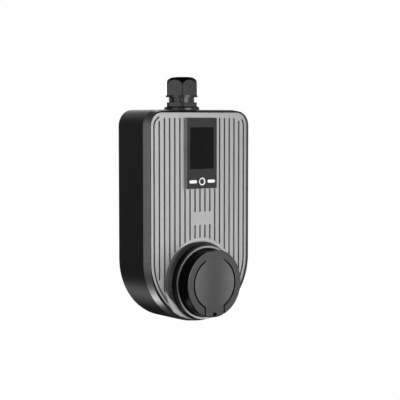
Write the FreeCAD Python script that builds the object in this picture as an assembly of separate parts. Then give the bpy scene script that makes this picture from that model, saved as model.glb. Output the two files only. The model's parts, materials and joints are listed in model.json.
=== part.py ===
"""Wall-box charger: a D-shaped housing with a display, a lidded socket outlet and a cable gland.

Frame: X to the right seen from the front, the front faces -Y, Z up, all in millimetres.
The origin is the centre of the four wall inserts, on the flat back face.
"""
import FreeCAD, Part
import math
import os

os.makedirs("parts", exist_ok=True)
Vector = FreeCAD.Vector

# Body outline: flat top with round corners, straight sides, half-round bottom
body_width = 138.0
body_height = 230.5
corner_radius = 17.5
shell_depth = 46.8
frame_depth = 10.8
frame_taper = 1.5
shell_wall = 3.2
back_edge_round = 2.0
frame_edge_round = 0.7

# Front panel
panel_recess = 1.6
panel_thickness = 4.0
panel_inset = 2.7
panel_gap = 0.15
panel_edge_round = 0.5
ledge_thickness = 3.0
ledge_inset = 10.4

# Grooves in the front panel
groove_pitch = 6.82
groove_width = 1.9
groove_depth = 2.0
grooves_each_side = 8
groove_top_margin = 8.8
contour_inset = 7.6
contour_gap = 3.5
contour_start_left = 54.4
contour_start_right = 58.6
blank_top = 4.5
blank_bottom = -9.4

# Display block
display_width = 41.2
display_height = 76.4
display_top_drop = 8.65
display_proud = 3.8
display_wall = 2.2
display_plug_depth = 5.0
display_edge_round = 0.5
lens_width = 32.8
lens_height = 44.9
lens_drop = 10.2
lens_thickness = 1.6
lens_recess = 0.2
lens_ledge = 1.0
module_margin = 3.6
module_thickness = 3.0
control_row_rise = 7.7
pill_width = 11.2
pill_height = 4.2
pill_margin = 8.2
ring_outer_r = 4.4
ring_inner_r = 3.1
guide_proud = 0.15
button_clearance = 0.15
button_recess = 0.4
button_travel = 0.7
button_flange = 0.8
plunger_r = 1.2
board_thickness = 1.6
led_height = 1.2
switch_size = 6.0
switch_height = 1.6

# Socket outlet
socket_drop = 24.65
ring_r = 40.4
ring_proud = 11.2
ring_edge_round = 1.0
ring_clearance = 0.2
collar_height = 3.7
collar_rim = 0.8
collar_flank = 4.9
collar_clear = 1.2
recess_depth = 1.5
gasket_inset = 0.5
gasket_thickness = 1.0
barrel_r = 29.3
barrel_proud = 10.3
barrel_wall = 2.0
barrel_depth = 51.5
floor_thickness = 4.0
cavity_flat = 23.5
rear_barrel_r = 30.5
core_inner_gap = 2.5
core_outer_gap = 2.4
core_depth = 8.5
screw_post_r = 3.6
contact_block_r = 21.5
contact_block_flat = 16.5
contact_block_recess = 7.5
power_hole_r = 2.8
power_sleeve_r = 3.9
signal_hole_r = 1.6
signal_sleeve_r = 2.4
contact_recess = 1.5
contact_tail = 4.0
middle_row_pitch = 14.5
lower_row_pitch = 7.6
lower_row_drop = 13.0
upper_row_pitch = 6.5
upper_row_rise = 10.5

# Lid
lid_r = 36.7
lid_gap = 0.3
lid_depth = 14.25
lid_wall = 2.4
lid_front = 3.0
lid_round = 1.2
lid_flat = 34.8
lid_disc_r = 26.9
lid_groove_width = 1.8
lid_groove_depth = 1.8
strap_width = 24.4
notch_width = 5.6
notch_height = 3.8
notch_rise = 1.6
notch_depth = 1.5
seal_width = 4.0
seal_gap = 0.1
pin_r = 1.25
pin_rise = 32.2
pin_stand = 3.4
knuckle_r = 2.6
lug_inner = 5.4
lug_width = 3.2
lug_arm_rise = 0.3
cheek_gap = 0.3
cheek_width = 2.4
hinge_clearance = 0.3
spring_wire_r = 0.4
spring_r = 2.0
spring_turns = 5

# Plug lock
lock_pin_r = 2.5
lock_bore_gap = 0.2
lock_travel = 6.0
lock_guide = 10.0
lock_behind_panel = 14.0
actuator_width = 30.0
actuator_depth = 17.0
actuator_height = 22.0
actuator_edge_round = 1.0
lock_pad = 4.0
lock_panel_gap = 0.5
lock_tip_recess = 0.5
lock_tip_round = 0.6
lock_end_gap = 2.5

# Cable gland
gland_thread_r = 12.5
gland_hole_gap = 0.2
gland_flats = 33.0
gland_turn = -3.0
gland_depth = 22.6
washer_r = 19.8
washer_height = 3.6
base_hex_height = 4.6
neck_height = 5.7
neck_r = 14.3
nut_flange_r = 17.9
nut_flange_height = 2.0
nut_height = 20.0
nut_top_r = 10.4
nut_shoulder = 8.3
nut_bulge = 1.3
nut_corner = 0.975
nut_wall = 3.0
cable_hole_r = 9.0
seal_bore_r = 7.5
seal_outer_r = 11.0
seal_height = 12.0
gland_bore_r = 8.6
locknut_height = 5.0
thread_below = 8.0

# Wall inserts and housing screws
mount_spacing_x = 80.0
mount_spacing_z = 140.0
insert_r = 3.6
insert_bore_r = 2.1
insert_length = 9.0
insert_boss_r = 6.0
insert_floor = 2.5
pillar_r = 5.0
pillar_web = 4.0
pillar_web_width = 3.0
low_pillar_angle = 42.0
screw_hole_r = 2.3
screw_r = 2.0
screw_head_r = 3.7
screw_head_height = 3.0
counterbore_r = 4.2
counterbore_depth = 8.0
screw_bite = 4.2
panel_screw_r = 1.5
panel_screw_head_r = 2.8
panel_screw_head = 1.8
panel_screw_bite = 1.5
panel_screw_x = 30.0
panel_screw_drop = 15.0
panel_screw_rise = 22.0
low_panel_screw_angle = 22.0
head_clearance = 0.5
back_recess_depth = 0.8
back_rim = 9.0

# Housing gasket
seal_groove_inset = 0.9
seal_groove_width = 1.4
seal_groove_depth = 1.2

# Main board and what it carries
main_board_width = 100.0
main_board_height = 104.0
main_board_bottom = -10.0
main_board_stand = 14.0
stand_r = 4.0
stand_inset = 5.0
board_screw_r = 1.4
board_screw_head_r = 2.7
board_screw_head = 2.0
lower_row_rise = 20.0
board_row_gap = 3.5
terminal_margin = 14.0
terminal_width = 36.0
terminal_height = 16.0
terminal_depth = 15.0
terminal_pitch = 11.5
wire_hole_r = 3.6
clamp_hole_r = 2.6
relay_width = 27.0
relay_height = 31.0
relay_depth = 21.0
relay_x = 31.0
transformer_width = 26.0
transformer_height = 22.0
transformer_depth = 18.0
sensor_x = -31.0
sensor_r = 13.0
sensor_bore_r = 7.0
sensor_depth = 12.0
capacitor_r = 7.0
capacitor_depth = 24.0
capacitor_pitch = 18.0
capacitor_start = 2.0

# Places worked out from the sizes above
body_top = body_height / 2
bend_z = -body_height / 2 + body_width / 2
shell_front = -shell_depth
frame_front = shell_front - frame_depth
panel_face = frame_front + panel_recess
panel_back = panel_face + panel_thickness
display_face = panel_face - display_proud
display_top = body_top - display_top_drop
display_bottom = display_top - display_height
display_board_front = panel_face + display_plug_depth
control_z = display_bottom + control_row_rise
pill_offset = display_width / 2 - pill_margin
socket_z = bend_z - socket_drop
ring_face = panel_face - ring_proud
flange_back = panel_face + recess_depth - gasket_thickness
barrel_face = ring_face - barrel_proud
barrel_back = barrel_face + barrel_depth
cavity_r = barrel_r - barrel_wall
core_inner_r = rear_barrel_r + core_inner_gap
core_outer_r = ring_r - core_outer_gap
gasket_inner_r = rear_barrel_r + ring_clearance
gasket_outer_r = ring_r - gasket_inset
socket_screw_pitch = (gasket_inner_r + gasket_outer_r - 1.0) / 2 * math.sqrt(0.5)
collar_inner_r = ring_r + ring_clearance
collar_top_r = collar_inner_r + collar_rim
collar_base_r = collar_top_r + collar_flank
lid_back = ring_face - lid_gap
lid_face = lid_back - lid_depth
lid_inner_face = lid_face + lid_front
pin_y = ring_face - pin_stand
pin_z = socket_z + pin_rise
gland_y = -gland_depth
main_board_front = -shell_wall - main_board_stand - board_thickness
lower_row_z = main_board_bottom + lower_row_rise
relay_row_z = lower_row_z + sensor_r + board_row_gap + relay_height / 2
terminal_z = main_board_bottom + main_board_height - terminal_margin
lock_pin_length = lock_travel + lock_guide
lock_y = panel_face + lock_behind_panel
lock_pad_top = socket_z + rear_barrel_r + lock_pad
lock_pin_tip = socket_z + cavity_flat + lock_tip_recess


def outline(inset, y):
    """Closed wire of the body's outline, drawn in by inset, in the plane Y = y."""
    half = body_width / 2 - inset
    top = body_top - inset
    r = max(corner_radius - inset, 0.5)
    slant = r * math.sqrt(0.5)
    corner_x = half - r
    corner_z = top - r

    def at(x, z):
        return Vector(x, y, z)

    edges = [
        Part.Arc(at(-half, bend_z), at(0, bend_z - half), at(half, bend_z)).toShape(),
        Part.makeLine(at(half, bend_z), at(half, corner_z)),
        Part.Arc(at(half, corner_z), at(corner_x + slant, corner_z + slant), at(corner_x, top)).toShape(),
        Part.makeLine(at(corner_x, top), at(-corner_x, top)),
        Part.Arc(at(-corner_x, top), at(-corner_x - slant, corner_z + slant), at(-half, corner_z)).toShape(),
        Part.makeLine(at(-half, corner_z), at(-half, bend_z)),
    ]
    return Part.Wire(edges)


def plate(inset, y_back, y_front):
    """Prism of the body's outline between two depths."""
    return Part.Face(outline(inset, y_back)).extrude(Vector(0, y_front - y_back, 0))


def rod(r, x, z, y_back, y_front):
    """Round bar that runs towards the front."""
    return Part.makeCylinder(r, y_back - y_front, Vector(x, y_back, z), Vector(0, -1, 0))


def post(r, x, y, z_low, z_high):
    """Upright round bar."""
    return Part.makeCylinder(r, z_high - z_low, Vector(x, y, z_low))


def cross_rod(r, y, z, x_left, x_right):
    """Round bar along X."""
    return Part.makeCylinder(r, x_right - x_left, Vector(x_left, y, z), Vector(1, 0, 0))


def block(x_left, x_right, y_front, y_back, z_low, z_high):
    """Box between six planes."""
    corner = Vector(x_left, y_front, z_low)
    return Part.makeBox(x_right - x_left, y_back - y_front, z_high - z_low, corner)


def slot(x_left, x_right, z_low, z_high, y_back, y_front):
    """Bar towards the front with a long section and half-round ends, upright or level."""
    r = min(x_right - x_left, z_high - z_low) / 2
    if z_high - z_low > x_right - x_left:
        x = (x_left + x_right) / 2
        body = block(x_left, x_right, y_front, y_back, z_low + r, z_high - r)
        ends = [rod(r, x, z_low + r, y_back, y_front), rod(r, x, z_high - r, y_back, y_front)]
    else:
        z = (z_low + z_high) / 2
        body = block(x_left + r, x_right - r, y_front, y_back, z_low, z_high)
        ends = [rod(r, x_left + r, z, y_back, y_front), rod(r, x_right - r, z, y_back, y_front)]
    return body.fuse(ends).removeSplitter()


def hexagon(flats, z_low, z_high, turn):
    """Upright hexagonal bar on the gland's axis."""
    points = []
    for i in range(7):
        angle = math.radians(60 * i + turn)
        r = flats / math.sqrt(3)
        points.append(Vector(r * math.cos(angle), gland_y + r * math.sin(angle), z_low))
    return Part.Face(Part.makePolygon(points)).extrude(Vector(0, 0, z_high - z_low))


def edges_at_depth(shape, y):
    """Every edge that lies wholly in the plane Y = y."""
    return [e for e in shape.Edges if abs(e.BoundBox.YMin - y) < 1e-4 and abs(e.BoundBox.YMax - y) < 1e-4]


def outline_edges(shape, inset, y):
    """Edges of a plate's outline at one depth."""
    half = body_width / 2 - inset
    found = []
    for edge in edges_at_depth(shape, y):
        point = edge.valueAt((edge.FirstParameter + edge.LastParameter) / 2)
        on_side = abs(abs(point.x) - half) < 1e-3
        on_top = abs(point.z - (body_top - inset)) < 1e-3
        on_bend = abs(math.hypot(point.x, point.z - bend_z) - half) < 1e-3 and point.z < bend_z
        corner_r = max(corner_radius - inset, 0.5)
        reach = math.hypot(abs(point.x) - (half - corner_r), point.z - (body_top - inset - corner_r))
        on_corner = abs(reach - corner_r) < 1e-3
        if on_side or on_top or on_bend or on_corner:
            found.append(edge)
    return found


def screw(r, head_r, head_height, x, z, seat, tip):
    """Pan-head screw with a cross-shaped drive, its head behind seat and its tip towards the front."""
    body = rod(r, x, z, seat, tip).fuse(rod(head_r, x, z, seat + head_height, seat))
    drive = block(x - head_r * 0.55, x + head_r * 0.55, seat + head_height * 0.5,
                  seat + head_height + 1, z - head_r * 0.12, z + head_r * 0.12)
    cross = drive.copy()
    cross.rotate(Vector(x, seat, z), Vector(0, 1, 0), 90)
    return body.cut([drive, cross]).removeSplitter()


def wall_places():
    """Centres of the four wall inserts."""
    x = mount_spacing_x / 2
    z = mount_spacing_z / 2
    return [(-x, -z), (x, -z), (-x, z), (x, z)]


def pillar_places():
    """Centres of the six housing screws, at one inset from the outline."""
    inset = pillar_web + pillar_r
    side = body_width / 2 - inset
    corner = (corner_radius - inset) * math.sqrt(0.5)
    corner_x = body_width / 2 - corner_radius + corner
    corner_z = body_top - corner_radius + corner
    low_x = side * math.cos(math.radians(low_pillar_angle))
    low_z = bend_z - side * math.sin(math.radians(low_pillar_angle))
    places = []
    for sign in (-1, 1):
        places.append((sign * corner_x, corner_z))
        places.append((sign * side, (corner_z + low_z) / 2))
        places.append((sign * low_x, low_z))
    return places


def panel_screw_places():
    """Centres of the eight small screws that pull the front panel on to its ledge."""
    inset = (panel_inset + ledge_inset) / 2
    side = body_width / 2 - inset
    upper = body_top - corner_radius - panel_screw_drop
    low_x = side * math.cos(math.radians(low_panel_screw_angle))
    low_z = bend_z - side * math.sin(math.radians(low_panel_screw_angle))
    places = []
    for sign in (-1, 1):
        places.append((sign * panel_screw_x, body_top - inset))
        places.append((sign * side, upper))
        places.append((sign * side, bend_z + panel_screw_rise))
        places.append((sign * low_x, low_z))
    return places


def stand_places():
    """Centres of the main board's four stands."""
    x = main_board_width / 2 - stand_inset
    low = main_board_bottom + stand_inset
    high = main_board_bottom + main_board_height - stand_inset
    return [(-x, low), (x, low), (-x, high), (x, high)]


def rear_shell():
    """Moulded tub with a round back edge, screw pillars, wall bosses and board stands."""
    shape = plate(0, 0, shell_front)
    shape = shape.makeFillet(back_edge_round, outline_edges(shape, 0, 0))
    shape = shape.cut(plate(shell_wall, -shell_wall, shell_front - 1))
    lugs = []
    for x, z in pillar_places():
        lugs.append(rod(pillar_r, x, z, -shell_wall, shell_front))
        web = block(0, pillar_web + pillar_r, shell_front, -shell_wall, -pillar_web_width / 2, pillar_web_width / 2)
        web.rotate(Vector(0, 0, 0), Vector(0, 1, 0), -math.degrees(pillar_direction(x, z)))
        web.translate(Vector(x, 0, z))
        lugs.append(web)
    for x, z in wall_places():
        lugs.append(rod(insert_boss_r, x, z, -shell_wall, -insert_length - insert_floor))
    for x, z in stand_places():
        lugs.append(rod(stand_r, x, z, -shell_wall, -shell_wall - main_board_stand))
    inner = plate(shell_wall / 2, -shell_wall / 2, shell_front)
    lugs = [lug.common(inner) for lug in lugs]
    shape = shape.fuse(lugs).removeSplitter()
    cuts = []
    for x, z in pillar_places():
        cuts.append(rod(counterbore_r, x, z, 1, -counterbore_depth))
        cuts.append(rod(screw_hole_r, x, z, 0, shell_front - 1))
    for x, z in wall_places():
        cuts.append(rod(insert_r, x, z, 1, -insert_length))
    for x, z in stand_places():
        cuts.append(rod(board_screw_r, x, z, -shell_wall - 2, -shell_wall - main_board_stand - 1))
    groove_out = plate(seal_groove_inset, shell_front + seal_groove_depth, shell_front - 1)
    groove_in = plate(seal_groove_inset + seal_groove_width, shell_front + seal_groove_depth, shell_front - 1)
    cuts.append(groove_out.cut(groove_in))
    cuts.append(post(gland_thread_r + gland_hole_gap, 0, gland_y, body_top - shell_wall - 1, body_top + 1))
    shape = shape.cut(cuts)
    return shape.cut(back_recess()).removeSplitter()


def pillar_direction(x, z):
    """Angle from +X towards +Z of the shortest way from a pillar to the side wall."""
    if z < bend_z:
        return math.atan2(z - bend_z, x)
    if z > body_top - corner_radius:
        return math.atan2(z - (body_top - corner_radius), x - math.copysign(body_width / 2 - corner_radius, x))
    return 0 if x > 0 else math.pi


def back_recess():
    """Shallow field in the back face that leaves a rim and round lands about the inserts and screws."""
    field = plate(back_rim, 1, -back_recess_depth)
    lands = []
    for x, z in wall_places():
        lands.append(rod(insert_boss_r + 2, x, z, 2, -back_recess_depth - 1))
    for x, z in pillar_places():
        lands.append(rod(counterbore_r + 2, x, z, 2, -back_recess_depth - 1))
    return field.cut(lands)


def housing_gasket():
    """Cord seal in the rim of the rear shell."""
    back = shell_front + seal_groove_depth
    outer = plate(seal_groove_inset, back, shell_front)
    return outer.cut(plate(seal_groove_inset + seal_groove_width, back, shell_front))


def mid_frame():
    """Tapered metal band with a rebate for the front panel and a ledge that the screws bite into."""
    shape = Part.makeLoft([outline(0, shell_front), outline(frame_taper, frame_front)], True, True)
    shape = shape.makeFillet(frame_edge_round, outline_edges(shape, frame_taper, frame_front))
    ledge_back = panel_back + ledge_thickness
    shape = shape.cut(plate(panel_inset - panel_gap, panel_back, frame_front - 1))
    shape = shape.cut(plate(ledge_inset, shell_front + 1, panel_back - 1))
    shape = shape.cut(plate(shell_wall, shell_front + 1, ledge_back))
    bosses = []
    for x, z in pillar_places():
        bosses.append(rod(pillar_r, x, z, shell_front, panel_back))
    inner = plate(shell_wall / 2, shell_front, panel_back)
    shape = shape.fuse([boss.common(inner) for boss in bosses]).removeSplitter()
    cuts = []
    for x, z in pillar_places():
        cuts.append(rod(screw_r, x, z, shell_front + 1, shell_front - screw_bite))
    for x, z in panel_screw_places():
        cuts.append(rod(panel_screw_r, x, z, ledge_back + 1, panel_back - 1))
    for x, z in socket_screw_places():
        cuts.append(rod(panel_screw_head_r + head_clearance, x, z, ledge_back + 1, panel_back - 1))
    return shape.cut(cuts).removeSplitter()


def socket_collar():
    """Raised rim round the socket with a hollow flank, held inside the panel's outline."""
    def at(r, rise):
        return Vector(r, panel_face - rise, socket_z)

    flank = Part.Arc(at(collar_base_r, 0), at(collar_top_r + collar_flank * 0.3, collar_height * 0.36),
                     at(collar_top_r, collar_height)).toShape()
    wire = Part.Wire([
        flank,
        Part.makeLine(at(collar_top_r, collar_height), at(collar_inner_r, collar_height)),
        Part.makeLine(at(collar_inner_r, collar_height), at(collar_inner_r, -recess_depth)),
        Part.makeLine(at(collar_inner_r, -recess_depth), at(collar_base_r, -recess_depth)),
        Part.makeLine(at(collar_base_r, -recess_depth), at(collar_base_r, 0)),
    ])
    ring = Part.Face(wire).revolve(Vector(0, 0, socket_z), Vector(0, 1, 0), 360)
    return ring.common(plate(panel_inset, panel_face + recess_depth, panel_face - collar_height - 1))


def groove_low_end(x):
    """Height at which an upright groove stops, above the collar or short of the contour groove."""
    collar_reach = collar_base_r + collar_clear
    contour_r = body_width / 2 - contour_inset - contour_gap
    contour_end = bend_z - math.sqrt(max(contour_r ** 2 - x ** 2, 0))
    if abs(x) < collar_reach:
        return max(socket_z + math.sqrt(collar_reach ** 2 - x ** 2), contour_end)
    return contour_end


def groove_high_end(x):
    """Height at which an upright groove starts below the panel's top edge."""
    top = body_top - groove_top_margin
    r = corner_radius - contour_inset - contour_gap
    past = abs(x) - (body_width / 2 - corner_radius)
    if past > 0:
        top = min(top, body_top - corner_radius + math.sqrt(max(r ** 2 - past ** 2, 0)))
    return top


def upright_grooves():
    """The straight grooves, broken by the display block and by one blank field under it."""
    cuts = []
    half = groove_width / 2
    floor = panel_face + groove_depth
    over = panel_face - 1
    for i in range(-grooves_each_side, grooves_each_side + 1):
        x = i * groove_pitch
        high = groove_high_end(x)
        low = groove_low_end(x)
        if abs(x) < display_width / 2 + half:
            high = display_bottom - groove_width / 4
        if -2 < i < 3:
            cuts.append(slot(x - half, x + half, blank_top, high, floor, over))
            cuts.append(slot(x - half, x + half, low, blank_bottom, floor, over))
        else:
            cuts.append(slot(x - half, x + half, low, high, floor, over))
    return cuts


def contour_grooves():
    """The two outer grooves, which follow the outline from the top corners down to the collar."""
    floor = panel_face + groove_depth
    over = panel_face - 1
    outer = plate(contour_inset - groove_width / 2, floor, over)
    band = outer.cut(plate(contour_inset + groove_width / 2, floor + 1, over - 1))
    band = band.cut(rod(collar_base_r + collar_clear, 0, socket_z, floor + 1, over - 1))
    far = body_width
    left = block(-far, -contour_start_left, over - 1, floor + 1, bend_z, far)
    right = block(contour_start_right, far, over - 1, floor + 1, bend_z, far)
    low = block(-far, far, over - 1, floor + 1, -far, bend_z)
    return band.common(left.fuse([right, low]))


def front_panel():
    """Grooved silver panel with the display window, the socket collar and its recess."""
    shape = plate(panel_inset, panel_back, panel_face)
    shape = shape.makeFillet(panel_edge_round, outline_edges(shape, panel_inset, panel_face))
    shape = shape.cut(rod(collar_inner_r, 0, socket_z, panel_face + recess_depth, panel_face - 1))
    shape = shape.fuse(socket_collar()).removeSplitter()
    cuts = upright_grooves()
    cuts.append(contour_grooves())
    cuts.append(rod(rear_barrel_r + ring_clearance, 0, socket_z, panel_back + 1, panel_face - 1))
    plug = display_width / 2 - display_wall + panel_gap
    cuts.append(block(-plug, plug, panel_face - 1, panel_back + 1, display_bottom + display_wall - panel_gap,
                      display_top - display_wall + panel_gap))
    for x, z in socket_screw_places():
        cuts.append(rod(panel_screw_r + 0.2, x, z, panel_back + 1, panel_face))
    for x, z in panel_screw_places():
        cuts.append(rod(panel_screw_r, x, z, panel_back + 1, panel_back - panel_screw_bite))
    return shape.cut(cuts).removeSplitter()


def display_bezel():
    """Raised block with the screen window, two light slots, the ring hole and a hollow back."""
    half = display_width / 2
    shape = block(-half, half, display_face, panel_face, display_bottom, display_top)
    edges = []
    for edge in shape.Edges:
        if edge.BoundBox.YMax < display_face + 1e-4 or edge.BoundBox.YLength > 1:
            edges.append(edge)
    shape = shape.makeFillet(display_edge_round, edges)
    inset = display_wall
    plug = block(-half + inset, half - inset, panel_face, display_board_front,
                 display_bottom + inset, display_top - inset)
    shape = shape.fuse(plug).removeSplitter()
    hollow_front = display_face + lens_recess + lens_thickness + lens_ledge
    hollow = inset * 2
    cuts = [block(-half + hollow, half - hollow, hollow_front, display_board_front + 1,
                  display_bottom + hollow + 6, display_top - hollow)]
    top = display_top - lens_drop
    cuts.append(block(-lens_width / 2, lens_width / 2, display_face - 1,
                      display_face + lens_recess + lens_thickness, top - lens_height, top))
    cuts.append(block(-lens_width / 2 + lens_ledge, lens_width / 2 - lens_ledge, display_face - 1, hollow_front + 1,
                      top - lens_height + lens_ledge, top - lens_ledge))
    for sign in (-1, 1):
        cuts.append(pill(sign, panel_gap / 2, display_board_front + 1, display_face - 1))
    cuts.append(rod(ring_outer_r + panel_gap / 2, 0, control_z, display_board_front + 1, display_face - 1))
    return shape.cut(cuts).removeSplitter()


def pill(sign, grow, y_back, y_front):
    """Long light slot beside the button; sign is -1 for the left one."""
    x = sign * pill_offset
    return slot(x - pill_width / 2 - grow, x + pill_width / 2 + grow,
                control_z - pill_height / 2 - grow, control_z + pill_height / 2 + grow, y_back, y_front)


def display_lens():
    """Clear black lens, a little below the block's face."""
    top = display_top - lens_drop - panel_gap / 2
    half = lens_width / 2 - panel_gap / 2
    front = display_face + lens_recess
    return block(-half, half, front, front + lens_thickness, top - lens_height + panel_gap, top)


def display_module():
    """Thin display unit against the back of the window."""
    front = display_face + lens_recess + lens_thickness + lens_ledge
    half = display_width / 2 - display_wall * 2 - panel_gap
    top = display_top - lens_drop + module_margin / 2
    return block(-half, half, front, front + module_thickness, top - lens_height - module_margin, top)


def control_board():
    """Circuit board that closes the display block's back."""
    half = display_width / 2 - display_wall
    back = display_board_front + board_thickness
    return block(-half, half, display_board_front, back, display_bottom + display_wall, display_top - display_wall)


def display_spacer():
    """Foam-backed frame that holds the display unit off the control board."""
    front = display_face + lens_recess + lens_thickness + lens_ledge + module_thickness
    half = display_width / 2 - display_wall * 2 - panel_gap
    top = display_top - lens_drop
    outer = block(-half, half, front, display_board_front, top - lens_height, top)
    return outer.cut(block(-half + 3, half - 3, front - 1, display_board_front + 1, top - lens_height + 3, top - 3))


def light_guide(sign):
    """White light guide that fills a long slot."""
    back = display_board_front - led_height - 0.2
    return pill(sign, 0, back, display_face - guide_proud)


def button_ring():
    """White ring light guide round the button."""
    back = display_face + display_proud
    outer = rod(ring_outer_r, 0, control_z, back, display_face - guide_proud)
    return outer.cut(rod(ring_inner_r, 0, control_z, back + 1, display_face - 1))


def push_button():
    """Small round button with a retaining flange behind the ring."""
    flange_front = display_face + display_proud + 0.2
    cap = rod(ring_inner_r - button_clearance, 0, control_z, flange_front, display_face + button_recess)
    cap = cap.makeFillet(0.4, edges_at_depth(cap, display_face + button_recess))
    flange = rod(ring_outer_r - 0.4, 0, control_z, flange_front + button_flange, flange_front)
    return cap.fuse(flange).removeSplitter()


def switch_plunger():
    """Pin between the button's flange and the inside of the switch."""
    front = display_face + display_proud + 0.2 + button_flange
    back = display_board_front - button_travel - 0.2
    return rod(plunger_r, 0, control_z, back, front)


def tact_switch():
    """Square key switch on the control board, with a well for its plunger."""
    half = switch_size / 2
    body = block(-half, half, display_board_front - switch_height, display_board_front,
                 control_z - half, control_z + half)
    return body.cut(rod(plunger_r + button_clearance, 0, control_z, display_board_front - 0.1,
                        display_board_front - switch_height - 1))


def status_lights():
    """Light-emitting diodes on the control board behind the light guides."""
    lights = []
    for x in (-pill_offset - 2.5, -pill_offset + 2.5, pill_offset - 2.5, pill_offset + 2.5):
        lights.append(block(x - 1.4, x + 1.4, display_board_front - led_height, display_board_front,
                            control_z - 1.0, control_z + 1.0))
    return Part.makeCompound(lights)


def socket_screw_places():
    """Centres of the four screws that hold the socket from behind the panel."""
    s = socket_screw_pitch
    return [(-s, socket_z - s), (s, socket_z - s), (-s, socket_z + s), (s, socket_z + s)]


def socket_gasket():
    """Flat seal between the socket's flange and the panel's recess."""
    back = panel_face + recess_depth
    outer = rod(gasket_outer_r, 0, socket_z, back, flange_back)
    cuts = [rod(gasket_inner_r, 0, socket_z, back + 1, flange_back - 1)]
    for x, z in socket_screw_places():
        cuts.append(rod(panel_screw_r + 0.2, x, z, back + 1, flange_back - 1))
    return outer.cut(cuts)


def flat_disc(r, flat, y_back, y_front):
    """Round bar on the socket's axis with its top cut flat."""
    bar = rod(r, 0, socket_z, y_back, y_front)
    return bar.cut(block(-r, r, y_front - 1, y_back + 1, socket_z + flat, socket_z + r + 1))


def socket_housing():
    """Socket body: front flange, barrel, rear barrel with a floor, hinge lugs and lock pad."""
    flange = rod(ring_r, 0, socket_z, flange_back, ring_face)
    flange = flange.makeFillet(ring_edge_round, edges_at_depth(flange, ring_face))
    core = rod(core_outer_r, 0, socket_z, flange_back + 1, flange_back - core_depth)
    core = core.cut(rod(core_inner_r, 0, socket_z, flange_back + 2, flange_back - core_depth - 1))
    core = core.cut([rod(screw_post_r, x, z, flange_back + 2, flange_back - core_depth - 1)
                     for x, z in socket_screw_places()])
    shape = flange.cut(core)
    shape = shape.fuse([rod(barrel_r, 0, socket_z, ring_face, barrel_face),
                        rod(rear_barrel_r, 0, socket_z, barrel_back, flange_back),
                        lock_seat(socket_z + cavity_flat + 1, lock_pad_top)])
    shape = shape.fuse([hinge_lug(sign) for sign in (-1, 1)]).removeSplitter()
    cuts = [flat_disc(cavity_r, cavity_flat, barrel_back - floor_thickness, barrel_face - 1)]
    cuts += [rod(r, x, socket_z + z, barrel_back + 1, barrel_face) for x, z, r in contact_places(0)]
    cuts += [rod(panel_screw_r, x, z, flange_back + 1, flange_back - core_depth + 1)
             for x, z in socket_screw_places()]
    cuts.append(lock_bore(socket_z))
    cuts.append(cross_rod(pin_r, pin_y, pin_z, -body_width / 2, body_width / 2))
    return shape.cut(cuts).removeSplitter()


def hinge_lug(sign):
    """Lug on the ring's face: a round eye about the pin on an arm low enough for the lid to swing over."""
    near = sign * lug_inner
    far = sign * (lug_inner + lug_width)
    left = min(near, far)
    right = max(near, far)
    arm = block(left, right, pin_y, ring_face, pin_z - knuckle_r, pin_z + lug_arm_rise)
    return arm.fuse(cross_rod(knuckle_r, pin_y, pin_z, left, right)).removeSplitter()


def lock_seat(z_low, z_high):
    """Block as wide and deep as the plug lock, kept clear of the panel's back."""
    half = actuator_width / 2
    front = max(lock_y - actuator_depth / 2, panel_back + lock_panel_gap)
    return block(-half, half, front, lock_y + actuator_depth / 2, z_low, z_high)


def lock_bore(z_low):
    """Upright bore for the lock pin, from a height up through the pad."""
    return post(lock_pin_r + lock_bore_gap, 0, lock_y, z_low, lock_pad_top + 1)


def contact_places(grow):
    """Places and hole radii of the seven contacts, about the socket's axis."""
    power = power_sleeve_r + grow
    signal = signal_sleeve_r + grow
    return [
        (0, 0, power),
        (-middle_row_pitch, 0, power),
        (middle_row_pitch, 0, power),
        (-lower_row_pitch, -lower_row_drop, power),
        (lower_row_pitch, -lower_row_drop, power),
        (-upper_row_pitch, upper_row_rise, signal),
        (upper_row_pitch, upper_row_rise, signal),
    ]


def contact_block():
    """Insulating core of the socket, round with a flat top and seven contact bores."""
    front = barrel_face + contact_block_recess
    shape = flat_disc(contact_block_r, contact_block_flat, barrel_back - floor_thickness, front)
    shape = shape.makeFillet(1.0, edges_at_depth(shape, front))
    return shape.cut([rod(r, x, socket_z + z, barrel_back, front - 1) for x, z, r in contact_places(0)])


def contacts(indices, bore_r):
    """Contact sleeves with a closed rear tail."""
    front = barrel_face + contact_block_recess + contact_recess
    sleeves = []
    for i in indices:
        x, z, r = contact_places(0)[i]
        sleeve = rod(r, x, socket_z + z, barrel_back + contact_tail, front)
        sleeves.append(sleeve.cut(rod(bore_r, x, socket_z + z, barrel_back - 2, front - 1)))
    return Part.makeCompound(sleeves)


def lid_grooves():
    """Two grooves in the lid's face that set off a disc and a strap: each an arc with a straight run to the rim."""
    disc_outer = lid_disc_r + lid_groove_width
    floor = lid_face + lid_groove_depth
    over = lid_face - 1
    arc = rod(disc_outer, 0, socket_z, floor, over).cut(rod(lid_disc_r, 0, socket_z, floor + 1, over - 1))
    half = strap_width / 2
    arc = arc.cut(block(-half, half, over - 1, floor + 1, socket_z - lid_r, socket_z + lid_r))
    runs = []
    for sign in (-1, 1):
        left = min(sign * half, sign * (half + lid_groove_width))
        reach = math.sqrt(lid_disc_r ** 2 - half ** 2)
        runs.append(block(left, left + lid_groove_width, over, floor, socket_z - lid_r, socket_z - reach))
    return arc.fuse(runs).removeSplitter()


def lid_cap():
    """Outer form of the lid: a round cap with a flat top and a disc and strap set off by grooves."""
    cap = rod(lid_r, 0, socket_z, lid_back, lid_face)
    cap = cap.makeFillet(lid_round, edges_at_depth(cap, lid_face))
    cap = cap.cut(lid_grooves())
    return cap.cut(block(-lid_r, lid_r, lid_face - 1, lid_back + 1, socket_z + lid_flat, socket_z + lid_r + 1))


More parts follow.
